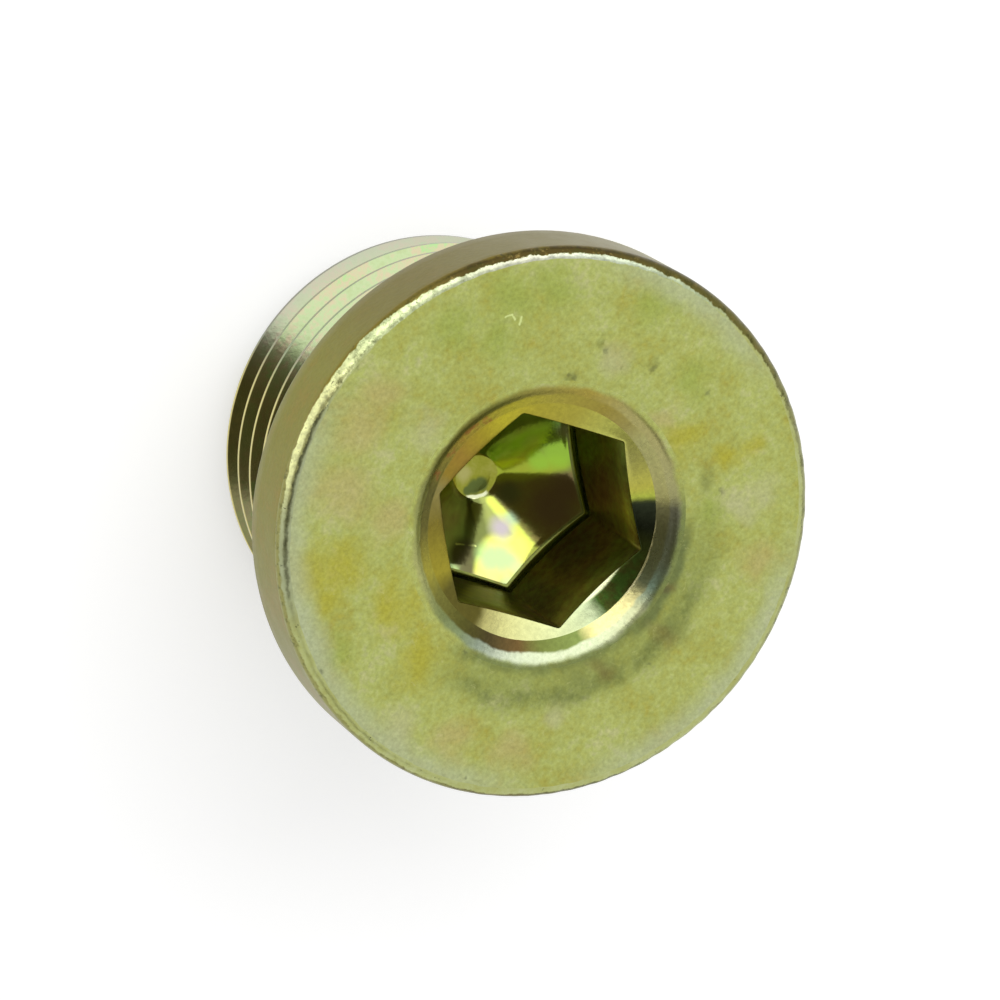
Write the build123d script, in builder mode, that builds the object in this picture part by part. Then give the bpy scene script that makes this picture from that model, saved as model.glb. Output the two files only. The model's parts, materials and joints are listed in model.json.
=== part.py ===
"""Hex socket plug: a screw plug with a round collar that closes a threaded port.

It is one turned and forged piece. It stands on its free end: the origin is the centre of that end, and
+Z runs out of the port, through the shank and the collar, to the face with the hexagon socket.
All sizes are in millimetres.
"""
from build123d import *
from math import radians, sqrt, tan
import os

# Thread. The shank is the plain cylinder that the thread's crests lie on.
thread_diameter = 17.8
thread_pitch = 1.5
thread_depth = thread_pitch * 0.6134
shank_length = 12.7

# Undercut between the thread and the collar, where the thread runs out
relief_depth = thread_depth + 0.13
relief_width = 2.2 * thread_pitch
relief_fillet = 0.5 * thread_pitch
lead_chamfer = thread_depth + 0.1

# Collar
collar_diameter = 23.0
collar_thickness = 3.5
rim_chamfer = 0.32
rim_fillet = 0.18
back_edge_fillet = 0.2

# Socket: hexagon, forged floor and two-step mouth
hexagon_across_flats = 8.1
hexagon_depth = 6.9
floor_slope = 24.0
floor_flat_diameter = 1.9
mouth_diameter = 11.55
mouth_step_diameter = 10.1
mouth_step_depth = 0.74
countersink_angle = 120.0

# Worked out from the sizes above
thread_radius = thread_diameter / 2
relief_radius = thread_radius - relief_depth
collar_radius = collar_diameter / 2
seat_height = shank_length
face_height = seat_height + collar_thickness
thread_top = seat_height - relief_width
hexagon_corner_radius = hexagon_across_flats / sqrt(3)
floor_drop = (hexagon_corner_radius - floor_flat_diameter / 2) * tan(radians(floor_slope))
mouth_step_radius = mouth_step_diameter / 2
countersink_drop = mouth_step_radius / tan(radians(countersink_angle / 2))


def edges_at(part_edges, radius, height):
    """The round edges about the plug's axis that have this radius and height."""
    return part_edges.filter_by(
        lambda edge: edge.geom_type == GeomType.CIRCLE
        and abs(edge.radius - radius) < 0.001
        and abs(edge.center().Z - height) < 0.001
    )


# The forging punch: a hexagon bar with a blunt conical nose, standing where it forms the socket
with BuildPart() as punch:
    with BuildSketch(Plane.XY.offset(face_height)):
        RegularPolygon(radius=hexagon_corner_radius, side_count=6)
    extrude(amount=-(hexagon_depth + floor_drop))
    with BuildSketch(Plane.XZ):
        with BuildLine():
            Polyline(
                (0, face_height),
                (0, face_height - hexagon_depth - floor_drop),
                (floor_flat_diameter / 2, face_height - hexagon_depth - floor_drop),
                (hexagon_corner_radius, face_height - hexagon_depth),
                (hexagon_corner_radius, face_height),
                close=True,
            )
        make_face()
    revolve(axis=Axis.Z, mode=Mode.INTERSECT)

# The plug: turned outside, socket forged in, mouth turned last
with BuildPart() as plug:
    with BuildSketch(Plane.XZ):
        with BuildLine():
            Polyline(
                (0, 0),
                (thread_radius - lead_chamfer, 0),
                (thread_radius, lead_chamfer),
                (thread_radius, thread_top),
                (relief_radius, thread_top + relief_depth),
                (relief_radius, seat_height),
                (collar_radius, seat_height),
                (collar_radius, face_height),
                (0, face_height),
                close=True,
            )
        make_face()
    revolve(axis=Axis.Z)
    fillet(edges_at(plug.edges(), relief_radius, seat_height), relief_fillet)
    fillet(edges_at(plug.edges(), collar_radius, seat_height), back_edge_fillet)
    chamfer(edges_at(plug.edges(), collar_radius, face_height), rim_chamfer)
    fillet(edges_at(plug.edges(), collar_radius, face_height - rim_chamfer), rim_fillet)
    fillet(edges_at(plug.edges(), collar_radius - rim_chamfer, face_height), rim_fillet)

    add(punch.part, mode=Mode.SUBTRACT)

    with BuildSketch(Plane.XZ):
        with BuildLine():
            Polyline(
                (0, face_height),
                (mouth_diameter / 2, face_height),
                (mouth_step_radius, face_height - mouth_step_depth),
                (0, face_height - mouth_step_depth - countersink_drop),
                close=True,
            )
        make_face()
    revolve(axis=Axis.Z, mode=Mode.SUBTRACT)

plug.part.label = "plug"

os.makedirs("parts", exist_ok=True)
export_step(plug.part, "parts/plug.step")
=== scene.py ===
"""Looks of the hex socket plug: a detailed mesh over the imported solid, its plating and a plain studio.

The plug stands on its free end at the origin, +Z up through the socket's face. Lengths are in millimetres
up to the meshes, which are in metres like the frame. In the finishes, angles round the plug are in
degrees, as the photograph shows its face: 0 at the right, 90 below, 180 at the left and -90 above.
Tints are 0 to 255.
"""
import json
from math import atan2, cos, pi, radians, sin, sqrt, tan

import bmesh
import bpy
import numpy as np
from mathutils import Matrix, Vector


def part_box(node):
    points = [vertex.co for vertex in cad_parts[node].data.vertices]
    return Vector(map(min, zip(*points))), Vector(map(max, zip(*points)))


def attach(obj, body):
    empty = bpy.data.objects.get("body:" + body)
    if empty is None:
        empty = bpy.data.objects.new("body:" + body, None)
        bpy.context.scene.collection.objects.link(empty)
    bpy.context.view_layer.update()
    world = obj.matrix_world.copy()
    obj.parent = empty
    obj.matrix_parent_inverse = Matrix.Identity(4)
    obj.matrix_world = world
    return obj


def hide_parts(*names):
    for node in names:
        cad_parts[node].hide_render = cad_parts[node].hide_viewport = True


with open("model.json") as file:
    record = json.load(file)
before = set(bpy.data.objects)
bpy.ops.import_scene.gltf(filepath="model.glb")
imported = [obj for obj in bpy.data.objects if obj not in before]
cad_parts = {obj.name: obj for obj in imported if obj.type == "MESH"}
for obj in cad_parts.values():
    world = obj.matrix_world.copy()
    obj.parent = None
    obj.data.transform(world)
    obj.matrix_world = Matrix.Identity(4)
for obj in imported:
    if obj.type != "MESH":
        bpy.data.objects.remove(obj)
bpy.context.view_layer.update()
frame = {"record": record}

MM = 0.001

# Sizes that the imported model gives
mounts = {mount["name"]: mount for mount in frame["record"]["mounts"]}
box_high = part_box("plug")[1]
COLLAR_R = box_high[0] / MM
TOP = box_high[2] / MM
SEAT = mounts["seating_face"]["pos_m"][2] / MM
THREAD_R = mounts["thread"]["dims"]["r_mm"]

# Thread and undercut
PITCH = 1.5
THREAD_DEPTH = 0.6134 * PITCH
RELIEF_DEPTH = THREAD_DEPTH + 0.13
RELIEF_WIDTH = 2.2 * PITCH
RELIEF_FILLET = 0.5 * PITCH
LEAD_CHAMFER = THREAD_DEPTH + 0.1
THREAD_TOP = SEAT - RELIEF_WIDTH
RUN_OUT_END = THREAD_TOP + RELIEF_DEPTH
RELIEF_R = THREAD_R - RELIEF_DEPTH
END_R = THREAD_R - LEAD_CHAMFER

# One pitch of the thread's form: share of the pitch from the crest's middle, share of the full depth
THREAD_FORM = (
    (-0.066, 0.016), (-0.06, 0.0), (0.06, 0.0), (0.066, 0.016), (0.13, 0.2), (0.22, 0.468), (0.31, 0.717),
    (0.40, 0.965), (0.45, 1.0), (0.55, 1.0), (0.60, 0.965), (0.69, 0.717), (0.78, 0.468), (0.87, 0.22),
)

# Height of one of the thread's crests on the side that the camera looks from
CREST_HEIGHT = 3.19

# Collar edges
RIM_ROUND = 0.48
RIM_WEAR = 0.018
RIM_DENTS = 0.014
BACK_EDGE = 0.2

# Socket
HEX_FLATS = 8.1
HEX_CORNER_ROUND = 0.16
HEX_DEPTH = 6.55
FOOT_WIDTH = 0.26
FOOT_HEIGHT = 0.42
FLOOR_SLOPE = radians(26.5)
FLOOR_FLAT_R = 0.95
COUNTERSINK_SLOPE = radians(24)

# The mouth's rolled lip: radius and slope in degrees, from the step at the countersink out to the face
LIP = (
    (4.96, 33), (5.04, 31), (5.2, 30.5), (5.3, 31.5), (5.42, 35), (5.52, 37), (5.6, 35.5), (5.68, 30),
    (5.8, 21), (5.92, 13.5), (6.1, 7.5), (6.4, 5), (6.9, 3.2), (7.5, 1.6), (8.0, 0),
)
STEP_R = LIP[0][0]
DISH_R = LIP[-1][0]

# Mesh: columns round the axis, and where the rings of points lie
COLUMNS = 528
ANGLES = np.arange(COLUMNS) * 2 * pi / COLUMNS
TIP_RADII = (0.3, 0.7, 0.9, 1.0)
CONE_SHARES = (0.08, 0.2, 0.35, 0.5, 0.65, 0.8, 0.92)
FOOT_TURNS = (0, 18, 36, 54, 72, 90)
WALL_SHARES = (0.25, 0.5, 0.75)
WALL_MARGIN = 0.05
BROKEN_EDGE = ((0, 0.03), (0.01, 0.005))
BROKEN_EDGE_WIDTH = 0.035
COUNTERSINK_SHARES = (0, 0.3, 0.65, 0.95)
LIP_FINE_R = 6.1
LIP_FINE_RINGS = 18
LIP_OUTER_RADII = (6.25, 6.5, 6.9, 7.4, DISH_R)
RIM_TURNS = (2, 12, 22, 32, 42, 52, 62, 72, 82, 90)
COLLAR_DROPS = (0.7, 1.3, 2.0, 2.7)
SEAT_MIDDLE_R = 10.0
END_RADII = (END_R, END_R - 0.06, 5.0, 2.4, 0.6)

# Mesh: how near points are joined, in metres, and which edges stay sharp
WELD_DISTANCE = 2e-7
NO_AREA_DISTANCE = 1e-8
SHARP_ANGLE = radians(38)

# Zones of the finish, the radius where the lip's ends, and a height between the socket and the free end
ZONES = ("floor", "foot", "wall", "countersink", "lip", "face", "rim", "side", "thread")
LIP_ZONE_R = 6.05
MIDDLE_HEIGHT = 5

# Camera: where the photograph was taken from, as seen from the socket's face
CAMERA_AZIMUTH = radians(-77.32)
CAMERA_TILT = radians(26.2)
CAMERA_ROLL = radians(214.67)
CAMERA_DISTANCE = 204.0
FOCAL_PX = 5065.8
FACE_CENTRE_PX = (549.28, 526.94)
IMAGE_PX = 1000
SENSOR_MM = 36.0


def view_axes():
    """Image right, image down and the direction to the camera, in the plug's frame."""
    outward = Vector((cos(CAMERA_AZIMUTH), sin(CAMERA_AZIMUTH), 0))
    sideways = Vector((sin(CAMERA_AZIMUTH), -cos(CAMERA_AZIMUTH), 0))
    up = Vector((0, 0, 1))
    to_camera = cos(CAMERA_TILT) * up + sin(CAMERA_TILT) * outward
    shank = cos(CAMERA_TILT) * outward - sin(CAMERA_TILT) * up
    right = cos(CAMERA_ROLL) * shank - sin(CAMERA_ROLL) * sideways
    down = sin(CAMERA_ROLL) * shank + cos(CAMERA_ROLL) * sideways
    return right, down, to_camera


def make_camera():
    """The camera at the photograph's angle, distance and framing."""
    right, down, back = view_axes()
    middle = IMAGE_PX / 2
    across = (FACE_CENTRE_PX[0] - middle) / FOCAL_PX * CAMERA_DISTANCE
    along = (FACE_CENTRE_PX[1] - middle) / FOCAL_PX * CAMERA_DISTANCE
    place = Vector((0, 0, TOP)) + back * CAMERA_DISTANCE - right * across - down * along
    data = bpy.data.cameras.new("camera")
    data.sensor_fit = "HORIZONTAL"
    data.sensor_width = SENSOR_MM
    data.lens = FOCAL_PX * SENSOR_MM / IMAGE_PX
    data.clip_start = 0.001
    camera = bpy.data.objects.new("camera", data)
    turn = Matrix((right, -down, back)).transposed().to_4x4()
    camera.matrix_world = Matrix.Translation(place * MM) @ turn
    bpy.context.scene.collection.objects.link(camera)
    bpy.context.scene.camera = camera


def hexagon_radius(angles):
    """Distance from the axis to the hexagon's wall, its corners slightly rounded."""
    half = HEX_FLATS / 2
    from_corner = np.abs((angles + pi / 6) % (pi / 3) - pi / 6)
    flat = half / np.cos(pi / 6 - from_corner)
    centre = (half - HEX_CORNER_ROUND) / cos(pi / 6)
    tangent = atan2(HEX_CORNER_ROUND * sin(pi / 6), centre + HEX_CORNER_ROUND * cos(pi / 6))
    inside = np.clip(HEX_CORNER_ROUND ** 2 - (centre * np.sin(from_corner)) ** 2, 0, None)
    rounded = centre * np.cos(from_corner) + np.sqrt(inside)
    return np.where(from_corner < tangent, rounded, flat)


def floor_height(radius):
    """Height of the socket's conical floor at a distance from the axis."""
    corner = HEX_FLATS / sqrt(3)
    return TOP - HEX_DEPTH - (corner - np.maximum(radius, FLOOR_FLAT_R)) * tan(FLOOR_SLOPE)


def lip_height(radius):
    """Height of the rolled lip and the face at a distance from the axis."""
    fine = np.linspace(STEP_R, DISH_R, 400)
    slopes = np.interp(fine, [place for place, slope in LIP], [slope for place, slope in LIP])
    falls = np.tan(np.radians(slopes[1:] + slopes[:-1]) / 2) * np.diff(fine)
    drop = np.concatenate([np.cumsum(falls[::-1])[::-1], [0]])
    return TOP - np.interp(radius, fine, drop)


def countersink_height(radius):
    """Height of the inner countersink at a distance from the axis."""
    return lip_height(STEP_R) - (STEP_R - radius) * tan(COUNTERSINK_SLOPE)


def ripple(angles, seed, waves):
    """A smooth closed random wave round the axis, about 1 high."""
    rng = np.random.default_rng(seed)
    total = np.zeros_like(angles)
    for count in waves:
        total += rng.normal() * np.cos(count * angles + rng.uniform(0, 2 * pi))
    return total / sqrt(len(waves))


def ring(radius, height):
    """A ring's radius and height in each column, from a single value or one for each column."""
    return np.ones(COLUMNS) * radius, np.ones(COLUMNS) * height


def socket_rows():
    """Rings from the floor's flat tip out to the hexagon, up its walls and out to the mouth."""
    wall = hexagon_radius(ANGLES)
    foot = wall - FOOT_WIDTH
    base = floor_height(foot)
    root = base + FOOT_HEIGHT
    edge = countersink_height(wall)
    tip = TIP_RADII[-1]
    start = wall + BROKEN_EDGE_WIDTH
    rows = [ring(radius, floor_height(radius)) for radius in TIP_RADII]
    for share in CONE_SHARES:
        radius = tip + (foot - tip) * share
        rows.append(ring(radius, floor_height(radius)))
    for turn in FOOT_TURNS:
        slope = radians(turn)
        rows.append(ring(foot + FOOT_WIDTH * sin(slope), base + FOOT_HEIGHT * (1 - cos(slope))))
    for share in WALL_SHARES:
        rows.append(ring(wall, root + (edge - WALL_MARGIN - root) * share))
    for out, drop in BROKEN_EDGE:
        rows.append(ring(wall + out, edge - drop))
    for share in COUNTERSINK_SHARES:
        radius = start + (STEP_R - start) * share
        rows.append(ring(radius, countersink_height(radius)))
    return rows


def lip_rows():
    """Rings up the rolled lip, from the countersink to the flat face."""
    radii = np.concatenate([np.linspace(STEP_R, LIP_FINE_R, LIP_FINE_RINGS), LIP_OUTER_RADII])
    return [ring(radius, lip_height(radius)) for radius in radii]


def rim_rows():
    """Rings across the face and round its worn rim."""
    face_radii = np.linspace(DISH_R + 0.4, COLLAR_R - RIM_ROUND - 0.15, 5)
    rows = [ring(radius, TOP) for radius in face_radii]
    wear = RIM_WEAR * ripple(ANGLES, 11, (7, 11, 17, 29, 43, 67, 89))
    dents = np.clip(RIM_DENTS * ripple(ANGLES, 12, (31, 53, 71, 97, 119, 151)), 0, None)
    for turn in RIM_TURNS:
        slope = radians(turn)
        sunk = dents * sin(2 * slope)
        radius = COLLAR_R - RIM_ROUND * (1 - sin(slope)) + wear * cos(slope) - sunk
        rows.append(ring(np.minimum(radius, COLLAR_R), TOP - RIM_ROUND * (1 - cos(slope)) - sunk))
    return rows


def collar_rows():
    """Rings down the collar's side, across its seating face and round the undercut."""
    rows = [ring(COLLAR_R, TOP - drop) for drop in COLLAR_DROPS]
    for turn in (0, 30, 60, 90):
        slope = radians(turn)
        rows.append(ring(COLLAR_R - BACK_EDGE * (1 - cos(slope)), SEAT + BACK_EDGE * (1 - sin(slope))))
    rows.append(ring(SEAT_MIDDLE_R, SEAT))
    for turn in (90, 60, 30, 0):
        slope = radians(turn)
        drop = RELIEF_FILLET * (1 - sin(slope))
        rows.append(ring(RELIEF_R + RELIEF_FILLET * (1 - cos(slope)), SEAT - drop))
    rows.append(ring(RELIEF_R, RUN_OUT_END))
    return rows


def end_rows():
    """Rings across the flat free end."""
    return [ring(radius, 0) for radius in END_RADII]


def round_points(radius, height):
    """Points round the axis, from a grid of radii and heights with a column for each angle."""
    points = np.stack([radius * np.cos(ANGLES), radius * np.sin(ANGLES), height], axis=-1)
    return points.reshape(-1, 3)


def make_rings(rows):
    """Points and quads of a closed band of rings, each given as its radii and heights."""
    radius = np.array([row[0] for row in rows])
    height = np.array([row[1] for row in rows])
    across, column = np.meshgrid(np.arange(len(rows) - 1), np.arange(COLUMNS), indexing="ij")
    here = across * COLUMNS + column
    beside = across * COLUMNS + (column + 1) % COLUMNS
    quads = np.stack([here, beside, beside + COLUMNS, here + COLUMNS], axis=-1)
    return round_points(radius, height), quads.reshape(-1, 4)


def shank_limit(height):
    """Largest radius of the threaded shank: its lead chamfer, crests and run-out slope."""
    return np.minimum(np.minimum(END_R + height, THREAD_R), THREAD_R - (height - THREAD_TOP))


def make_thread():
    """The right-hand helix as a sheared grid, its rows along the thread, flattened at both ends."""
    per_turn = len(THREAD_FORM)
    start = CREST_HEIGHT - PITCH * CAMERA_AZIMUTH / (2 * pi)
    first_turn = int(np.floor((0 - PITCH - start) / PITCH)) - 1
    last_turn = int(np.ceil((RUN_OUT_END - start) / PITCH)) + 1
    heights = []
    depths = []
    for turn in range(first_turn, last_turn):
        for phase, depth in THREAD_FORM:
            heights.append(start + (turn + phase) * PITCH)
            depths.append(depth * THREAD_DEPTH)
    height = np.array(heights)[:, None] + PITCH * ANGLES / (2 * pi)
    height = np.clip(height, 0, RUN_OUT_END)
    radius = np.minimum(THREAD_R - np.array(depths)[:, None], shank_limit(height))
    rows = len(heights)
    quads = []
    for row in range(rows - 1):
        here = row * COLUMNS + np.arange(COLUMNS - 1)
        quads.append(np.stack([here, here + 1, here + COLUMNS + 1, here + COLUMNS], axis=-1))
        if row + per_turn + 1 < rows:
            seam = row * COLUMNS + COLUMNS - 1
            across = (row + per_turn) * COLUMNS
            quads.append(np.array([[seam, across, across + COLUMNS, seam + COLUMNS]]))
    return round_points(radius, height), np.concatenate(quads)


def gather(parts):
    """The points and quads of several bands as one set."""
    points = []
    quads = []
    count = 0
    for part_points, part_quads in parts:
        points.append(part_points)
        quads.append(part_quads + count)
        count += len(part_points)
    return np.concatenate(points), np.concatenate(quads)


def fan(pole, closed_ring):
    """Triangles from a pole to each side of a closed ring of points."""
    sides = zip(closed_ring.tolist(), np.roll(closed_ring, -1).tolist())
    return [(pole, here, beside) for here, beside in sides]


def zone_of(face):
    """Which finish a face of the mesh takes, from where it lies."""
    centre = face.calc_center_median()
    radius = sqrt(centre.x ** 2 + centre.y ** 2) / MM
    height = centre.z / MM
    if radius < LIP_ZONE_R and height > MIDDLE_HEIGHT:
        wall = hexagon_radius(np.array([atan2(centre.y, centre.x)]))[0]
        if radius > STEP_R:
            return "lip"
        if height > countersink_height(wall) - 0.02:
            return "countersink"
        if height > floor_height(wall - FOOT_WIDTH) + FOOT_HEIGHT:
            return "wall"
        return "foot" if radius > wall - FOOT_WIDTH else "floor"
    if height > TOP - RIM_ROUND and radius > COLLAR_R - RIM_ROUND - 0.05:
        return "rim"
    if height > TOP - 0.2:
        return "face"
    return "thread" if height < RUN_OUT_END else "side"


def weld(mesh):
    """Joins the bands where they meet, drops what has no area and gives each face its zone."""
    work = bmesh.new()
    work.from_mesh(mesh)
    bmesh.ops.remove_doubles(work, verts=work.verts, dist=WELD_DISTANCE)
    bmesh.ops.dissolve_degenerate(work, edges=work.edges, dist=NO_AREA_DISTANCE)
    loose = [vert for vert in work.verts if not vert.link_faces]
    bmesh.ops.delete(work, geom=loose, context="VERTS")
    bmesh.ops.recalc_face_normals(work, faces=work.faces)
    for face in work.faces:
        face.smooth = True
        face.material_index = ZONES.index(zone_of(face))
    work.to_mesh(mesh)
    work.free()


def make_plug(materials):
    """The whole plug as one closed mesh."""
    bands = make_rings(socket_rows() + lip_rows() + rim_rows() + collar_rows())
    points, quads = gather([bands, make_thread(), make_rings(end_rows())])
    count = len(points)
    columns = np.arange(COLUMNS)
    poles = [(0, 0, float(floor_height(0.0))), (0, 0, 0)]
    faces = [tuple(quad) for quad in quads.tolist()]
    faces += fan(count, columns)
    faces += fan(count + 1, (count - COLUMNS + columns)[::-1])
    mesh = bpy.data.meshes.new("plug_body")
    mesh.from_pydata((np.vstack([points, poles]) * MM).tolist(), [], faces)
    weld(mesh)
    for zone in ZONES:
        mesh.materials.append(materials[zone])
    mesh.set_sharp_from_angle(angle=SHARP_ANGLE)
    body = bpy.data.objects.new("plug_body", mesh)
    bpy.context.scene.collection.objects.link(body)
    return body


class Nodes:
    """A small helper that adds and links shader nodes. Places are in millimetres on the plug."""

    def __init__(self, tree):
        self.tree = tree
        self.tree.nodes.clear()

    def add(self, kind, inputs=None, **settings):
        """A new node with its settings and inputs."""
        node = self.tree.nodes.new(kind)
        for name, value in settings.items():
            setattr(node, name, value)
        for name, value in (inputs or {}).items():
            self.put(node.inputs[name], value)
        return node

    def put(self, socket, value):
        """A socket takes a value, or a link from another node's output."""
        if isinstance(value, bpy.types.NodeSocket):
            self.tree.links.new(value, socket)
        else:
            socket.default_value = value

    def math(self, operation, first, second=0.0, third=0.0):
        node = self.add("ShaderNodeMath", operation=operation)
        for socket, value in zip(node.inputs, (first, second, third)):
            self.put(socket, value)
        return node.outputs[0]

    def vector(self, operation, first, second=(0, 0, 0), scale=1.0):
        node = self.add("ShaderNodeVectorMath", operation=operation)
        self.put(node.inputs[0], first)
        if operation == "SCALE":
            self.put(node.inputs["Scale"], scale)
        else:
            self.put(node.inputs[1], second)
        single = operation in ("LENGTH", "DISTANCE", "DOT_PRODUCT")
        return node.outputs["Value" if single else "Vector"]

    def place(self):
        """Where a point is on the plug, in millimetres."""
        where = self.add("ShaderNodeTexCoord").outputs["Object"]
        return self.vector("SCALE", where, scale=1 / MM)

    def flat(self, where):
        """Places seen along the plug's axis."""
        return self.vector("MULTIPLY", where, (1, 1, 0))

    def reach(self, flat):
        """Distance from the axis."""
        return self.vector("LENGTH", flat)

    def height(self, where):
        """Height above the free end."""
        return self.vector("DOT_PRODUCT", where, (0, 0, 1))

    def noise(self, where, scale, detail=3.0, roughness=0.55):
        node = self.add("ShaderNodeTexNoise", {"Scale": scale, "Detail": detail, "Roughness": roughness})
        self.put(node.inputs["Vector"], where)
        return node.outputs["Fac"]

    def blotches(self, where, scale, start, end, detail=3.0, roughness=0.55):
        """A mask of ragged patches: a noise, cut off softly between two of its levels."""
        return self.ease(self.noise(where, scale, detail, roughness), start, end)

    def warped(self, where, scale, amount):
        """Places pushed about by a noise, so that what is laid on them gets an uneven edge."""
        node = self.add("ShaderNodeTexNoise", {"Scale": scale, "Detail": 3.0})
        self.put(node.inputs["Vector"], where)
        push = self.vector("SUBTRACT", node.outputs["Color"], (0.5, 0.5, 0.5))
        return self.vector("ADD", where, self.vector("SCALE", push, scale=amount))

    def ease(self, value, start, end):
        """A smooth step: 0 at the start and 1 at the end."""
        node = self.add("ShaderNodeMapRange", {"Value": value}, interpolation_type="SMOOTHSTEP")
        low, high = (start, end) if start < end else (end, start)
        self.put(node.inputs["From Min"], low)
        self.put(node.inputs["From Max"], high)
        self.put(node.inputs["To Min"], 0.0 if start < end else 1.0)
        self.put(node.inputs["To Max"], 1.0 if start < end else 0.0)
        return node.outputs["Result"]

    def both(self, first, second):
        """Where two masks overlap."""
        return self.math("MULTIPLY", first, second)

    def hill(self, value, rise, top_start, top_end, fall):
        """A mask over a range of a value, with soft ends."""
        return self.both(self.ease(value, rise, top_start), self.ease(value, fall, top_end))

    def spots(self, flat, places, hard):
        """Round soft marks: each is given as its right and down places and its radius."""
        total = None
        for right, down, radius in places:
            away = self.vector("DISTANCE", flat, on_face(right, down))
            mask = self.ease(away, radius, radius * hard)
            total = mask if total is None else self.math("MAXIMUM", total, mask)
        return total

    def turn(self, flat):
        """How far round the plug a place is: 0 at the left, 0.25 above and 0.5 at the right."""
        right = self.vector("DOT_PRODUCT", flat, on_face(1, 0))
        down = self.vector("DOT_PRODUCT", flat, on_face(0, 1))
        return self.math("MULTIPLY_ADD", self.math("ARCTAN2", down, right), 1 / (2 * pi), 0.5)

    def round_ramp(self, flat, stops):
        """Tints by the angle round the plug, joined across 180 degrees."""
        ordered = sorted(stops)
        first, last = ordered[0], ordered[-1]
        share = (180 - last[0]) / (360 - last[0] + first[0])
        seam = tuple(a + (b - a) * share for a, b in zip(last[1], first[1]))
        marks = [(-180, seam), *ordered, (180, seam)]
        return self.ramp(self.turn(flat), [((angle + 180) / 360, srgb(*tint)) for angle, tint in marks])

    def round_level(self, flat, stops):
        """A number from 0 to 1 by the angle round the plug."""
        marks = [((angle + 180) / 360, (level, level, level, 1.0)) for angle, level in stops]
        return self.ramp(self.turn(flat), marks)

    def sector(self, flat, start, end, soft):
        """1 between two angles round the plug, with soft ends."""
        middle, half = (start + end) / 2, (end - start) / 2
        aim = on_face(cos(radians(middle)), sin(radians(middle)))
        across = self.vector("DOT_PRODUCT", self.vector("NORMALIZE", flat), aim)
        return self.ease(across, cos(radians(half + soft)), cos(radians(max(half - soft, 0))))

    def stroke(self, flat, start, end, width):
        """A thin line between two places."""
        first, last = Vector(on_face(*start)), Vector(on_face(*end))
        run = last - first
        offset = self.vector("SUBTRACT", flat, tuple(first))
        share = self.math("DIVIDE", self.vector("DOT_PRODUCT", offset, tuple(run)), run.length_squared)
        share = self.add("ShaderNodeClamp", {"Value": share}).outputs[0]
        along = self.vector("SCALE", tuple(run), scale=share)
        return self.ease(self.vector("DISTANCE", offset, along), width, width * 0.4)

    def ramp(self, factor, stops):
        """A colour ramp, from places between 0 and 1 and their linear colours."""
        node = self.tree.nodes.new("ShaderNodeValToRGB")
        self.put(node.inputs["Fac"], factor)
        marks = node.color_ramp.elements
        while len(marks) < len(stops):
            marks.new(0.5)
        for mark, (place, colour) in zip(marks, stops):
            mark.position = place
            mark.color = colour
        return node.outputs["Color"]

    def blend(self, factor, first, second, mode="MIX"):
        node = self.add("ShaderNodeMix", data_type="RGBA", blend_type=mode)
        self.put(node.inputs["Factor"], factor)
        self.put(node.inputs[6], first)
        self.put(node.inputs[7], second)
        return node.outputs[2]

    def tint(self, colour, mask, tint, strength):
        """A colour laid over another where a mask says."""
        return self.blend(self.math("MULTIPLY", mask, strength), colour, srgb(*tint))

    def tint_spots(self, colour, flat, groups):
        """Spots laid over a colour: each group has its places, how hard they are, a tint and its strength."""
        for places, hard, tint, strength in groups:
            colour = self.tint(colour, self.spots(flat, places, hard), tint, strength)
        return colour

    def tint_strokes(self, colour, flat, strokes):
        """Lines laid over a colour: each has its two ends, its width, a tint and its strength."""
        for start, end, width, tint, strength in strokes:
            colour = self.tint(colour, self.stroke(flat, start, end, width), tint, strength)
        return colour


def srgb(red, green, blue):
    """A colour given as 0 to 255 on screen, in the renderer's linear values."""
    def linear(value):
        value /= 255
        return value / 12.92 if value <= 0.04045 else ((value + 0.055) / 1.055) ** 2.4
    return (linear(red), linear(green), linear(blue), 1.0)


def face_axes():
    """The photograph's right and down, laid in the plane of the plug's face."""
    right = view_axes()[0].copy()
    right.z = 0
    right.normalize()
    return right, right.cross(Vector((0, 0, 1)))


def on_face(right, down):
    """A place given as the photograph's right and down across the face, in millimetres."""
    axis_right, axis_down = face_axes()
    return tuple(axis_right * right + axis_down * down)


def mottle(nodes, where, scale, tints):
    """Cloudy tints of the plating, from the low to the high places of a noise."""
    cloudy = nodes.noise(where, scale, 4.0, 0.6)
    fine = nodes.noise(where, scale * 8, 3.0, 0.6)
    mixed = nodes.math("MULTIPLY_ADD", fine, 0.3, nodes.math("MULTIPLY", cloudy, 0.7))
    steps = len(tints) - 1
    return nodes.ramp(mixed, [(0.34 + 0.32 * i / steps, srgb(*tint)) for i, tint in enumerate(tints)])


def grain(nodes, where, colour, scale, low, high):
    """The colour made lighter and darker in fine grains."""
    speck = nodes.noise(where, scale, 2.0, 0.7)
    level = nodes.add("ShaderNodeMapRange", {"Value": speck, "From Min": 0.25, "From Max": 0.75})
    nodes.put(level.inputs["To Min"], low)
    nodes.put(level.inputs["To Max"], high)
    return nodes.blend(1.0, colour, level.outputs["Result"], "MULTIPLY")


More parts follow.
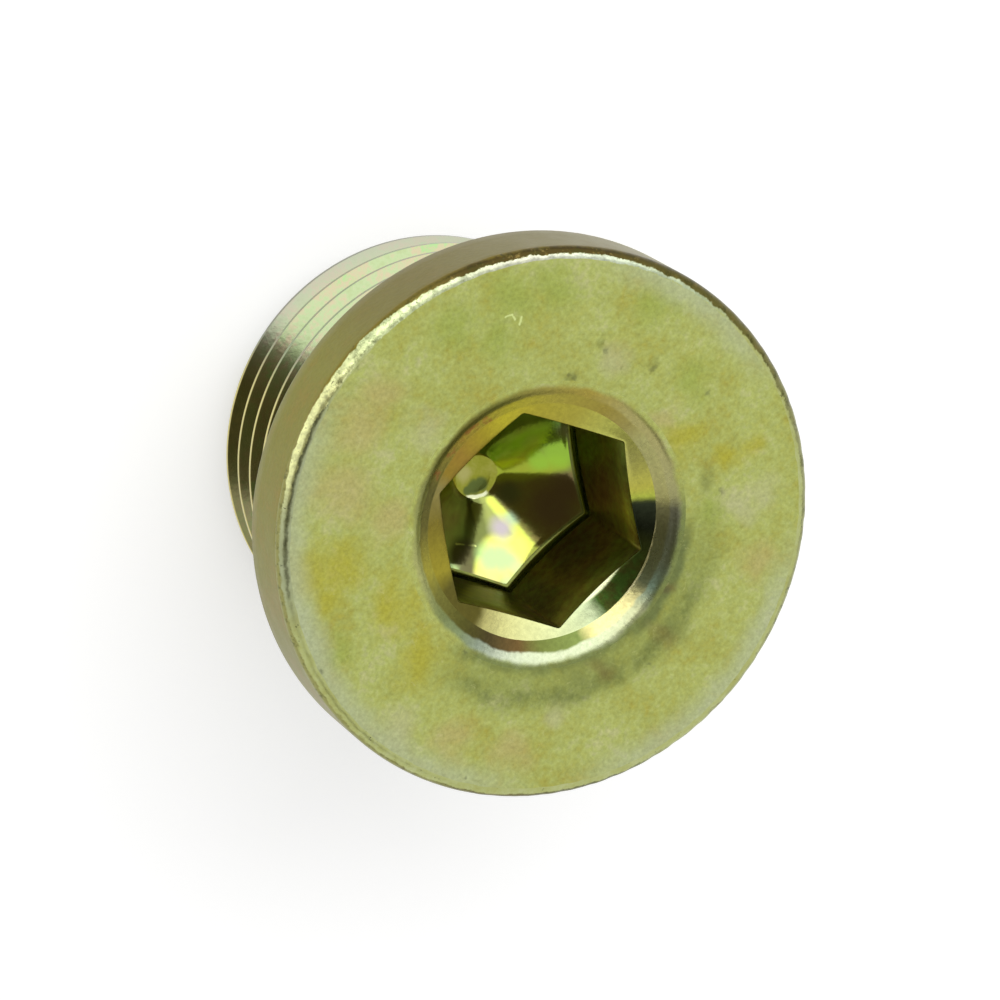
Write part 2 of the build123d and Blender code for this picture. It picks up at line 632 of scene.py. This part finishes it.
# Patches and marks on the face: right, down and radius
YELLOW_PATCHES = (
    (-8.6, 0.9, 1.7), (-9.9, 0.9, 1.8), (-9.3, 1.8, 1.3), (-6.6, 2.8, 1.8), (-5.6, 5.0, 1.6),
    (9.0, -2.6, 1.0), (8.0, -2.2, 1.0), (5.9, -3.1, 1.3),
)
TAN_PATCHES = (
    (-8.7, -2.3, 2.0), (-8.0, -4.9, 1.8), (-7.2, -6.2, 1.8), (-6.9, -0.9, 1.5), (-1.7, 9.2, 1.4),
    (-4.0, 8.6, 1.5), (9.3, 2.4, 1.4), (5.0, -4.0, 1.0),
)
GREEN_PATCHES = (
    (-1.7, -9.6, 1.8), (0.4, -9.9, 1.6), (-4.0, -8.6, 1.6), (-2.1, -7.8, 1.4), (6.4, -5.4, 1.3),
    (4.6, -8.6, 1.4), (7.2, 0.3, 1.1), (-9.4, 4.0, 1.2),
)
PALE_PATCHES = (
    (9.5, -0.5, 1.1), (8.5, 0.0, 0.9), (3.0, -6.6, 1.0), (-6.5, 7.6, 1.4), (0.5, 7.9, 1.0),
    (-5.2, -4.6, 1.1),
)
DARK_CLOUDS = (
    (5.2, 3.2, 0.8), (4.6, 4.1, 0.7), (5.6, 5.0, 0.9), (2.6, 6.3, 1.1), (1.2, 6.7, 1.0), (-3.9, 5.0, 0.5),
    (6.9, -1.0, 0.8), (4.5, -6.1, 0.5), (2.3, -7.1, 0.5), (0.9, -6.1, 0.45),
)
BROWN_CLOUDS = ((5.3, 3.3, 0.4), (5.0, 5.2, 0.7), (2.4, 6.6, 0.8))
DARK_MARKS = (
    (2.4, -7.1, 0.22), (4.45, -6.15, 0.24), (6.9, -4.95, 0.2), (7.55, -0.75, 0.22), (4.4, 6.3, 0.15),
    (-9.75, 4.97, 0.2), (0.85, -6.2, 0.16), (1.1, -6.05, 0.2), (-3.6, 4.9, 0.16), (-9.4, -5.76, 0.14),
    (-8.2, -7.4, 0.2), (-3.6, 10.2, 0.12), (5.2, 3.25, 0.3),
)

# The face's layers: spots under and over its rings of painted shade, and the small marks
FACE_PATCHES = (
    (TAN_PATCHES, 0.1, (182, 170, 112), 0.65),
    (GREEN_PATCHES, 0.1, (152, 166, 78), 0.65),
    (YELLOW_PATCHES, 0.1, (172, 166, 56), 0.75),
    (PALE_PATCHES, 0.1, (184, 184, 140), 0.6),
)
FACE_CLOUDS = (
    (DARK_CLOUDS, 0.1, (118, 126, 72), 0.5),
    (BROWN_CLOUDS, 0.1, (112, 92, 54), 0.5),
)
FACE_MARKS = ((DARK_MARKS, 0.1, (88, 92, 64), 0.48),)

# The face's rings of painted shade by the mouth, at the right and below: radii of the rise, the top and the
# fall, the sector, the tint, its strength and whether the ring is patchy
PAINTED_SHADE_RINGS = (
    ((5.2, 6.0, 7.2, 8.3), (6, 128, 16), (124, 134, 70), 0.5, False),
    ((5.3, 5.8, 6.2, 6.6), (8, 50, 8), (84, 98, 66), 0.65, False),
    ((5.3, 5.8, 6.0, 6.4), (50, 128, 8), (98, 110, 66), 0.55, False),
    ((6.7, 7.1, 7.3, 7.8), (28, 122, 10), (98, 108, 60), 0.55, True),
)
PALE_BORDERS = ((-200, -152), (16, 76), (104, 168), (-68, -38))
BORDER_RADII = (9.8, 11.0)
SCRATCH_TINT = (214, 226, 150)
SCRATCHES = (
    ((-1.9, -8.85), (-1.6, -8.95), 0.06, SCRATCH_TINT, 0.8),
    ((-1.6, -8.95), (-1.5, -8.72), 0.06, SCRATCH_TINT, 0.8),
    ((-1.3, -8.5), (-1.2, -8.8), 0.06, SCRATCH_TINT, 0.8),
)


def face_mottle(nodes, flat):
    """The olive plating of the face and the outermost part of the lip."""
    return mottle(nodes, flat, 0.36, [(168, 164, 78), (168, 172, 92), (174, 182, 106), (184, 186, 128)])


def paint_face(nodes, where):
    """The face: mottled olive, a pale border, rings of painted shade by the mouth and small marks."""
    flat = nodes.flat(where)
    uneven = nodes.warped(flat, 0.5, 2.4)
    radius = nodes.reach(nodes.warped(flat, 0.8, 0.7))
    colour = nodes.tint_spots(face_mottle(nodes, flat), uneven, FACE_PATCHES)
    for start, end in PALE_BORDERS:
        border = nodes.both(nodes.ease(radius, *BORDER_RADII), nodes.sector(flat, start, end, 14))
        colour = nodes.tint(colour, border, (178, 186, 154), 0.6)
    patches = nodes.blotches(flat, 0.9, 0.34, 0.6, 4.0, 0.7)
    # Painted shade: darker rings round the mouth at the right and below
    for radii, angles, tint, strength, patchy in PAINTED_SHADE_RINGS:
        painted_shade = nodes.both(nodes.hill(radius, *radii), nodes.sector(flat, *angles))
        if patchy:
            painted_shade = nodes.both(painted_shade, patches)
        colour = nodes.tint(colour, painted_shade, tint, strength)
    colour = nodes.tint_spots(colour, uneven, FACE_CLOUDS)
    colour = grain(nodes, where, colour, 6.0, 0.84, 1.14)
    streaks = nodes.noise(nodes.warped(flat, 0.6, 3.0), 2.2, 5.0, 0.75)
    colour = nodes.tint(colour, nodes.ease(streaks, 0.56, 0.72), (134, 140, 76), 0.35)
    colour = nodes.tint(colour, nodes.ease(streaks, 0.42, 0.3), (196, 198, 132), 0.35)
    colour = nodes.tint_spots(colour, nodes.warped(flat, 4.0, 0.4), FACE_MARKS)
    return nodes.tint_strokes(colour, nodes.warped(flat, 5.0, 0.12), SCRATCHES)


# The rim's painted highlight, a bright ragged line, by the angle round the plug: where it starts and ends
# across the rounding, as shares of a quarter turn, how plain it is, and its tints
LINE_START = ((-180, 0.34), (-150, 0.31), (-143, 0.14), (-130, 0.07), (-110, 0.02), (-90, 0.0), (180, 0.34))
LINE_END = (
    (-180, 0.6), (-168, 0.68), (-160, 0.82), (-145, 0.82), (-132, 0.72), (-118, 0.46), (-100, 0.33),
    (-78, 0.3), (-58, 0.2), (-45, 0.16), (175, 0.6), (180, 0.6),
)
LINE_STRENGTH = (
    (-180, 0.0), (-172, 0.15), (-166, 0.85), (-158, 1.0), (-80, 1.0), (-60, 0.75), (-50, 0.45), (-42, 0.0),
    (180, 0.0),
)
LINE_TINTS = (
    (-165, (232, 234, 166)), (-146, (238, 240, 172)), (-132, (212, 224, 166)), (-112, (190, 198, 160)),
    (-95, (196, 196, 176)), (-75, (190, 200, 176)), (-50, (176, 194, 162)),
)

# The rim's tints between that line and the side
RIM_OUTER_TINTS = (
    (-170, (142, 140, 86)), (-140, (132, 124, 50)), (-122, (104, 94, 44)), (-108, (66, 56, 28)),
    (-78, (64, 54, 26)), (-60, (88, 82, 40)), (-36, (108, 104, 56)), (-15, (142, 144, 96)),
    (60, (158, 164, 108)), (74, (96, 104, 50)), (100, (100, 94, 36)), (118, (128, 128, 66)),
    (150, (142, 142, 84)),
)


def rim_inner(nodes, where, flat):
    """The rim's part by the face: pale, and colder at the left."""
    colour = mottle(nodes, where, 0.9, [(166, 168, 100), (174, 180, 116), (182, 188, 134)])
    return nodes.tint(colour, nodes.sector(flat, -192, -148, 8), (152, 160, 140), 0.55)


def rim_outer(nodes, where, flat, loose):
    """The rim's part by the side, with dark and brown stains, and like the side where it meets it above."""
    colour = nodes.round_ramp(flat, RIM_OUTER_TINTS)
    colour = nodes.tint(colour, nodes.blotches(where, 2.4, 0.5, 0.62, 4.0, 0.8), (56, 58, 26), 0.55)
    colour = nodes.tint(colour, nodes.blotches(where, 2.9, 0.56, 0.68, 4.0, 0.8), (126, 110, 62), 0.6)
    toward_side = nodes.both(nodes.ease(loose, 0.62, 1.0), nodes.sector(flat, -150, -72, 12))
    return nodes.tint(colour, toward_side, (122, 108, 40), 0.85)


def rim_highlight(nodes, where, flat):
    """The painted highlight along the rim's line, patchy at the upper left."""
    colour = nodes.round_ramp(nodes.warped(flat, 1.5, 1.0), LINE_TINTS)
    colour = grain(nodes, where, colour, 3.4, 0.6, 1.25)
    patches = nodes.both(nodes.sector(flat, -146, -106, 6), nodes.blotches(where, 3.0, 0.5, 0.6, 4.0, 0.8))
    return nodes.tint(colour, patches, (128, 136, 92), 0.6)


def paint_rim(nodes, where):
    """The rim: a painted highlight along a ragged line, dark where it turns to the side above."""
    flat = nodes.flat(where)
    out = nodes.math("SUBTRACT", nodes.reach(flat), COLLAR_R - RIM_ROUND)
    up = nodes.math("SUBTRACT", nodes.height(where), TOP - RIM_ROUND)
    share = nodes.math("MULTIPLY", nodes.math("ARCTAN2", out, up), 2 / pi)
    broad = nodes.math("MULTIPLY_ADD", nodes.noise(where, 1.3, 2.0), 0.36, -0.18)
    teeth = nodes.math("MULTIPLY_ADD", nodes.noise(where, 4.2, 4.0, 0.8), 0.4, -0.2)
    loose = nodes.math("ADD", share, nodes.math("ADD", broad, teeth))
    before = nodes.math("SUBTRACT", loose, nodes.round_level(flat, LINE_START))
    after = nodes.math("SUBTRACT", loose, nodes.round_level(flat, LINE_END))
    inner = rim_inner(nodes, where, flat)
    outer = rim_outer(nodes, where, flat, loose)
    colour = nodes.blend(nodes.ease(after, -0.08, 0.06), inner, outer)
    groove = nodes.both(nodes.hill(loose, 0.1, 0.22, 0.28, 0.4), nodes.sector(flat, -190, -148, 5))
    groove = nodes.both(groove, nodes.blotches(where, 2.2, 0.3, 0.55, 3.0, 0.7))
    colour = nodes.tint(colour, groove, (104, 106, 78), 0.75)
    # Painted highlight: the bright ragged line along the rim
    line = nodes.both(nodes.ease(before, -0.05, 0.03), nodes.ease(after, 0.04, -0.04))
    line = nodes.both(line, nodes.round_level(flat, LINE_STRENGTH))
    colour = nodes.blend(line, colour, rim_highlight(nodes, where, flat))
    return nodes.tint(colour, nodes.blotches(where, 3.4, 0.64, 0.72, 3.0, 0.7), (66, 64, 40), 0.8)


def paint_side(nodes, where):
    """The collar's side, seating face and undercut: satin olive, with painted shade browner above."""
    colour = mottle(nodes, where, 0.45, [(130, 116, 24), (122, 118, 24), (124, 122, 34)])
    # Painted shade: the upper part of the side is darker and browner
    upper = nodes.sector(nodes.flat(where), -128, -62, 16)
    colour = nodes.tint(colour, upper, (104, 92, 26), 0.75)
    return grain(nodes, where, colour, 7.0, 0.9, 1.1)


def paint_thread(nodes, where):
    """The thread and the free end: pale plating, and at the left painted shade on the flanks and painted
    highlights on the crests.
    """
    flat = nodes.flat(where)
    height = nodes.height(where)
    colour = mottle(nodes, where, 0.5, [(140, 152, 112), (144, 158, 120), (158, 148, 122), (134, 162, 112)])
    low = nodes.ease(height, 2.6, 1.4)
    colour = nodes.tint(colour, low, (136, 136, 124), 0.8)
    left = nodes.sector(nodes.warped(flat, 0.6, 0.8), -232, -152, 8)
    left = nodes.both(left, nodes.ease(height, 0.02, 0.1))
    # Painted shade: darker flanks at the left
    painted_shade = mottle(nodes, where, 0.6, [(106, 98, 41), (116, 112, 49), (132, 124, 58)])
    colour = nodes.blend(nodes.both(left, nodes.math("MULTIPLY_ADD", low, 0.3, 0.5)), colour, painted_shade)
    # Painted highlight: cream along the crests at the left
    crest_highlight = nodes.ease(nodes.reach(flat), THREAD_R - 0.03, THREAD_R - 0.01)
    return nodes.tint(colour, nodes.both(crest_highlight, left), (216, 204, 128), 0.9)


# Tints of the mouth by the angle round the plug, mostly painted reflections: golden above, dark at the right
# and pale below, with a dark notch in the countersink at the right
LIP_OUTER_TINTS = (
    (-176, (156, 160, 94)), (-160, (136, 138, 80)), (-146, (118, 118, 56)), (-125, (112, 108, 44)),
    (-112, (116, 116, 50)), (-95, (146, 138, 66)), (-70, (162, 146, 66)), (-52, (166, 158, 98)),
    (-6, (164, 162, 112)), (-1, (112, 112, 92)), (22, (124, 132, 110)), (34, (136, 160, 142)),
    (44, (182, 186, 144)), (70, (172, 180, 146)), (96, (168, 176, 146)), (112, (160, 168, 146)),
    (122, (140, 152, 132)), (132, (132, 146, 104)), (144, (126, 136, 84)), (164, (170, 172, 108)),
)
LIP_INNER_TINTS = (
    (-176, (108, 103, 49)), (-160, (104, 100, 50)), (-144, (144, 134, 60)), (-132, (166, 144, 54)),
    (-120, (166, 154, 54)), (-106, (172, 164, 50)), (-84, (160, 150, 62)), (-60, (150, 136, 62)),
    (-46, (152, 142, 80)), (-36, (166, 164, 106)), (-6, (166, 162, 104)), (-1, (124, 122, 84)),
    (34, (118, 126, 96)), (42, (216, 208, 146)), (64, (212, 200, 136)), (73, (104, 118, 62)),
    (92, (90, 98, 48)), (102, (84, 66, 37)), (118, (70, 62, 37)), (132, (88, 86, 40)),
    (152, (120, 118, 56)), (164, (164, 156, 62)),
)
COUNTERSINK_TINTS = (
    (-176, (124, 112, 42)), (-157, (138, 128, 74)), (-150, (144, 122, 44)), (-138, (150, 122, 48)),
    (-124, (158, 142, 42)), (-110, (180, 170, 48)), (-92, (164, 154, 54)), (-70, (162, 154, 64)),
    (-50, (184, 186, 92)), (-30, (178, 176, 98)), (-12, (184, 180, 78)), (-7, (176, 186, 76)),
    (-4, (50, 56, 40)), (9, (34, 38, 26)), (16, (58, 64, 32)), (28, (70, 92, 38)), (55, (60, 88, 34)),
    (62, (168, 180, 140)), (90, (172, 176, 126)), (122, (171, 166, 104)), (127, (92, 86, 38)),
    (150, (96, 90, 40)), (160, (156, 145, 50)),
)


def paint_lip(nodes, where):
    """The mouth's rolled lip: an inner and an outer band of painted reflections whose tints change round it,
    the face's edge with painted shade at the right and below, and a painted highlight on the step.
    """
    plain = nodes.flat(where)
    flat = nodes.warped(plain, 1.4, 0.25)
    radius = nodes.reach(flat)
    # Painted reflections: the lip's bands, golden above, dark at the right and pale below
    outer = nodes.round_ramp(flat, LIP_OUTER_TINTS)
    inner = nodes.round_ramp(flat, LIP_INNER_TINTS)
    rust = nodes.both(nodes.sector(flat, -156, -112, 6), nodes.blotches(where, 1.6, 0.5, 0.64))
    inner = nodes.tint(inner, rust, (156, 92, 52), 0.6)
    colour = nodes.blend(nodes.ease(radius, 5.36, 5.48), inner, outer)
    # Painted shade: the face's edge by the mouth is darkened at the right and below
    edge = nodes.tint(face_mottle(nodes, plain), nodes.sector(plain, -6, 128, 10), (92, 106, 68), 0.7)
    outside = nodes.ease(nodes.reach(nodes.warped(plain, 0.9, 0.5)), 5.68, 5.96)
    colour = nodes.blend(outside, colour, edge)
    # Painted highlight: a pale thin line along the step at the lower right
    step = nodes.both(nodes.ease(radius, 5.02, 4.98), nodes.sector(flat, 8, 42, 5))
    colour = nodes.tint(colour, step, (232, 226, 180), 0.8)
    return grain(nodes, where, colour, 6.0, 0.86, 1.14)


def paint_countersink(nodes, where):
    """The countersink, mostly painted reflections: golden above, dark green at the right, cream below."""
    plain = nodes.flat(where)
    flat = nodes.warped(plain, 1.2, 0.3)
    # Painted reflections: the tints round the countersink, with its dark notch at the right
    colour = nodes.round_ramp(flat, COUNTERSINK_TINTS)
    brown = nodes.both(nodes.sector(flat, 22, 56, 5), nodes.blotches(plain, 1.6, 0.42, 0.6, 3.0, 0.65))
    colour = nodes.tint(colour, brown, (72, 62, 30), 0.6)
    from_flat = nodes.math("SUBTRACT", nodes.reach(plain), HEX_FLATS / 2)
    # Painted highlight: a cream sliver by the hexagon's edge at the lower right
    sliver_highlight = nodes.both(nodes.ease(from_flat, 0.22, 0.1), nodes.sector(flat, 30, 60, 6))
    colour = nodes.tint(colour, sliver_highlight, (226, 232, 184), 0.9)
    return grain(nodes, where, colour, 5.0, 0.88, 1.12)


def paint_wall(nodes, where):
    """The hexagon's walls: dark olive with brown and green clouds, and a painted reflection at the lower
    left.
    """
    colour = mottle(nodes, where, 0.6, [(172, 143, 97), (165, 154, 92), (150, 158, 90)])
    # Painted reflection: a yellow-olive patch on the walls at the lower left
    low = nodes.both(nodes.sector(nodes.flat(where), 84, 142, 4), nodes.blotches(where, 0.7, 0.3, 0.6))
    colour = nodes.tint(colour, low, (144, 148, 40), 0.9)
    return grain(nodes, where, colour, 2.4, 0.7, 1.3)


def paint_foot(nodes, where):
    """The rounding between the floor and the walls, painted darker than both as shade in the corner."""
    return mottle(nodes, where, 0.6, [(92, 92, 46), (100, 108, 54), (110, 108, 52)])


# The floor's layers: sectors with their tint and strength, streaks, spots and a fine line. The sectors are
# painted reflections of the walls; the streaks and spots are painted reflections in iridescent plating tints
FLOOR_REFLECTION_SECTORS = (
    ((-112, -28, 14), (98, 138, 60), 0.8),
    ((100, 190, 5), (160, 186, 124), 0.85),
    ((58, 108, 4), (96, 104, 56), 0.95),
    ((56, 76, 8), (136, 144, 78), 0.9),
)
FLOOR_STREAKS = (
    ((0.65, 1.1), (2.2, 3.2), 0.3, (186, 196, 84), 0.8),
    ((1.0, -0.05), (3.2, -0.45), 0.6, (168, 186, 44), 0.6),
)
FLOOR_SPOTS = (
    (((-1.0, 3.0, 0.8), (-0.9, 3.6, 0.5)), 0.4, (84, 80, 54), 0.9),
    (((0.8, 3.3, 1.15), (0.1, 3.75, 0.8), (1.3, 3.1, 0.8)), 0.5, (208, 210, 96), 0.95),
    (((0.3, 3.35, 0.9), (0.7, 3.4, 0.95), (1.0, 3.5, 0.7)), 0.2, (156, 194, 128), 0.95),
    (((0.15, 4.2, 0.6), (-0.4, 4.05, 0.5)), 0.2, (184, 172, 118), 0.8),
    (((0.85, 4.3, 0.5), (1.35, 3.85, 0.5)), 0.2, (172, 186, 128), 0.85),
    (((1.4, 1.8, 0.42),), 0.2, (136, 170, 146), 0.6),
    (((0.95, 2.2, 0.72),), 0.15, (152, 144, 148), 0.95),
    (((3.1, 1.4, 1.5), (3.6, 0.7, 1.2)), 0.2, (112, 92, 76), 0.8),
    (((1.4, 0.8, 0.8),), 0.2, (96, 106, 70), 0.8),
    (((3.3, -0.95, 1.1), (2.6, -0.65, 0.7)), 0.3, (146, 188, 62), 0.85),
    (((3.65, -2.0, 0.6),), 0.3, (150, 156, 116), 0.8),
)
FLOOR_LINES = (((-1.18, 2.6), (-0.3, 2.85), 0.07, (206, 216, 140), 0.7),)
# Painted reflections on the flat tip: a paler spot and a dark green crescent
TIP_REFLECTION_SPOTS = (
    (((-0.5, -0.1, 0.5),), 0.2, (172, 168, 104), 0.8),
    (((0.0, 0.5, 0.44), (0.32, 0.4, 0.4), (-0.25, 0.6, 0.3)), 0.55, (84, 98, 52), 0.9),
)


def paint_floor(nodes, where):
    """The forged floor: glossy, with painted reflections tinted from pink and lime to yellow, a paler flat
    tip and a painted highlight round the tip.
    """
    flat = nodes.warped(nodes.flat(where), 0.9, 0.35)
    radius = nodes.reach(flat)
    colour = mottle(nodes, flat, 0.6, [(124, 112, 64), (130, 124, 66), (130, 138, 70)])
    # Painted reflections of the walls, in sectors
    for angles, tint, strength in FLOOR_REFLECTION_SECTORS:
        colour = nodes.tint(colour, nodes.sector(flat, *angles), tint, strength)
    colour = nodes.tint_strokes(colour, flat, FLOOR_STREAKS)
    colour = nodes.tint_spots(colour, flat, FLOOR_SPOTS)
    colour = nodes.tint_strokes(colour, flat, FLOOR_LINES)
    tip = mottle(nodes, flat, 1.2, [(132, 136, 42), (142, 144, 52), (152, 152, 70)])
    tip = nodes.tint_spots(tip, flat, TIP_REFLECTION_SPOTS)
    colour = nodes.blend(nodes.ease(radius, 1.02, 0.94), colour, tip)
    glint = nodes.both(nodes.hill(radius, 0.84, 0.9, 0.96, 1.02), nodes.sector(flat, 56, 108, 6))
    return nodes.tint(colour, glint, (244, 248, 206), 0.9)


# Each zone's finish: its paint, its roughness, how far that varies, and the strength of its bump
FINISHES = {
    "face": (paint_face, 0.42, 0.1, 0.35),
    "rim": (paint_rim, 0.3, 0.1, 0.5),
    "side": (paint_side, 0.36, 0.1, 0.25),
    "thread": (paint_thread, 0.17, 0.06, 0.12),
    "lip": (paint_lip, 0.27, 0.06, 0.25),
    "countersink": (paint_countersink, 0.26, 0.08, 0.2),
    "wall": (paint_wall, 0.32, 0.08, 0.2),
    "foot": (paint_foot, 0.24, 0.06, 0.2),
    "floor": (paint_floor, 0.09, 0.04, 0.06),
}
GLOSS_SCALE = 1.2
PEBBLE_SCALE = 5.0
PEBBLE_HEIGHT_M = 0.00003


def plated(name, paint, roughness, spread, bump):
    """A plated metal: painted tints, uneven gloss and a fine pebbled surface."""
    material = bpy.data.materials.new(name)
    material.use_nodes = True
    nodes = Nodes(material.node_tree)
    where = nodes.place()
    gloss = nodes.noise(where, GLOSS_SCALE)
    pebbles = nodes.noise(where, PEBBLE_SCALE, 4.0, 0.6)
    bumped = nodes.add("ShaderNodeBump", {"Strength": bump, "Distance": PEBBLE_HEIGHT_M, "Height": pebbles})
    shader = nodes.add("ShaderNodeBsdfPrincipled", {
        "Base Color": paint(nodes, where),
        "Metallic": 1.0,
        "Roughness": nodes.math("MULTIPLY_ADD", gloss, spread, roughness - spread / 2),
        "Normal": bumped.outputs["Normal"],
    })
    output = nodes.add("ShaderNodeOutputMaterial")
    nodes.put(output.inputs["Surface"], shader.outputs["BSDF"])
    return material


def make_materials():
    """One finish for each zone of the plug, all of the same yellow plating."""
    return {zone: plated("plating_" + zone, *finish) for zone, finish in FINISHES.items()}


# The floor: how pale its paper is, what it adds to the eye, its half width, and how far it lies under the
# plug's end, which would flicker in the same plane
PAPER = 0.8
PAPER_GLOW = 0.45
FLOOR_HALF_M = 1.5
FLOOR_GAP = 0.02

# How strongly the room lights the plug and the floor. To the eye and in reflections it is white, 1.
ROOM_LIGHT = 0.6

# Dark cards: how strong, of what colour and how far off they are, and their corners, as azimuth and
# elevation in degrees
FLAG_SHADE = 0.16
FLAG_COLOUR = (1, 0.9, 0.42, 1)
FLAG_DISTANCE_M = 0.3
CAMERA_FLAG = (
    (4, 43), (5, 55), (20, 63), (36, 67), (36, 78), (-40, 80), (-67, 70), (-68, 58), (-66, 37), (-40, 35),
    (-14, 36),
)
SIDE_FLAG = ((-96, 53), (-96, 42), (-124, 36), (-130, 48))


def looked_at(nodes):
    """1 where the eye, a reflection or a view through glass sees the surface, 0 where it only lights."""
    path = nodes.add("ShaderNodeLightPath").outputs
    direct = nodes.math("MAXIMUM", path["Is Camera Ray"], path["Is Glossy Ray"])
    return nodes.math("MAXIMUM", direct, path["Is Transmission Ray"])


def make_floor():
    """The plain pale floor: white to the eye, with the plug's soft shadow."""
    material = bpy.data.materials.new("floor_paper")
    material.use_nodes = True
    nodes = Nodes(material.node_tree)
    paper = nodes.add("ShaderNodeBsdfDiffuse", {"Color": (PAPER, PAPER, PAPER, 1)}).outputs[0]
    glow = nodes.add("ShaderNodeEmission", {"Color": (1, 1, 1, 1), "Strength": PAPER_GLOW}).outputs[0]
    lit = nodes.add("ShaderNodeAddShader")
    nodes.put(lit.inputs[0], paper)
    nodes.put(lit.inputs[1], glow)
    pick = nodes.add("ShaderNodeMixShader", {"Fac": looked_at(nodes)})
    nodes.put(pick.inputs[1], paper)
    nodes.put(pick.inputs[2], lit.outputs[0])
    output = nodes.add("ShaderNodeOutputMaterial")
    nodes.put(output.inputs["Surface"], pick.outputs[0])
    mesh = bpy.data.meshes.new("floor")
    corners = [(-1, -1), (1, -1), (1, 1), (-1, 1)]
    points = [(x * FLOOR_HALF_M, y * FLOOR_HALF_M, -FLOOR_GAP * MM) for x, y in corners]
    mesh.from_pydata(points, [], [(0, 1, 2, 3)])
    mesh.materials.append(material)
    floor = bpy.data.objects.new("floor", mesh)
    bpy.context.scene.collection.objects.link(floor)


def make_world():
    """An even room: white to the eye and to reflections, dimmer as a light."""
    world = bpy.data.worlds.new("room")
    bpy.context.scene.world = world
    world.use_nodes = True
    nodes = Nodes(world.node_tree)
    strength = nodes.math("MULTIPLY_ADD", looked_at(nodes), 1 - ROOM_LIGHT, ROOM_LIGHT)
    sky = nodes.add("ShaderNodeBackground", {"Color": (1, 1, 1, 1), "Strength": strength})
    output = nodes.add("ShaderNodeOutputWorld")
    nodes.put(output.inputs["Surface"], sky.outputs["Background"])


def toward(azimuth, elevation):
    """A direction from the plug: degrees round from the camera's side to the image's upper right, and up."""
    heading = CAMERA_AZIMUTH - radians(azimuth)
    level = cos(radians(elevation))
    return Vector((level * cos(heading), level * sin(heading), sin(radians(elevation))))


def softbox(name, azimuth, elevation, distance, width, height, radiance):
    """A soft rectangular lamp that faces the plug, as bright as its radiance says. Sizes are in metres."""
    data = bpy.data.lights.new(name, "AREA")
    data.shape = "RECTANGLE"
    data.size = width
    data.size_y = height
    data.energy = radiance * width * height * pi
    lamp = bpy.data.objects.new(name, data)
    heading = toward(azimuth, elevation)
    lamp.location = Vector((0, 0, TOP * MM)) + heading * distance
    lamp.rotation_euler = heading.to_track_quat("Z", "Y").to_euler()
    bpy.context.scene.collection.objects.link(lamp)


def flag(name, outline):
    """A dark card that only the plug's reflections see, its corners given as directions from the plug."""
    material = bpy.data.materials.new(name)
    material.use_nodes = True
    nodes = Nodes(material.node_tree)
    cloth = nodes.add("ShaderNodeEmission", {"Color": FLAG_COLOUR, "Strength": FLAG_SHADE})
    output = nodes.add("ShaderNodeOutputMaterial")
    nodes.put(output.inputs["Surface"], cloth.outputs[0])
    centre = Vector((0, 0, TOP * MM))
    corners = [centre + toward(azimuth, elevation) * FLAG_DISTANCE_M for azimuth, elevation in outline]
    count = len(corners)
    middle = sum(corners, Vector()) / count
    triangles = [(i, (i + 1) % count, count) for i in range(count)]
    mesh = bpy.data.meshes.new(name)
    mesh.from_pydata([tuple(corner) for corner in [*corners, middle]], [], triangles)
    mesh.materials.append(material)
    card = bpy.data.objects.new(name, mesh)
    card.visible_camera = False
    card.visible_diffuse = False
    bpy.context.scene.collection.objects.link(card)


def make_studio():
    """Floor, room, lamp and dark cards."""
    make_floor()
    make_world()
    softbox("key", azimuth=62, elevation=33, distance=0.4, width=0.6, height=0.54, radiance=1.3)
    flag("camera_flag", CAMERA_FLAG)
    flag("side_flag", SIDE_FLAG)


make_camera()
make_studio()
plug = make_plug(make_materials())
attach(plug, "root")
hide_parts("plug")

bpy.context.scene.view_settings.view_transform = "Standard"
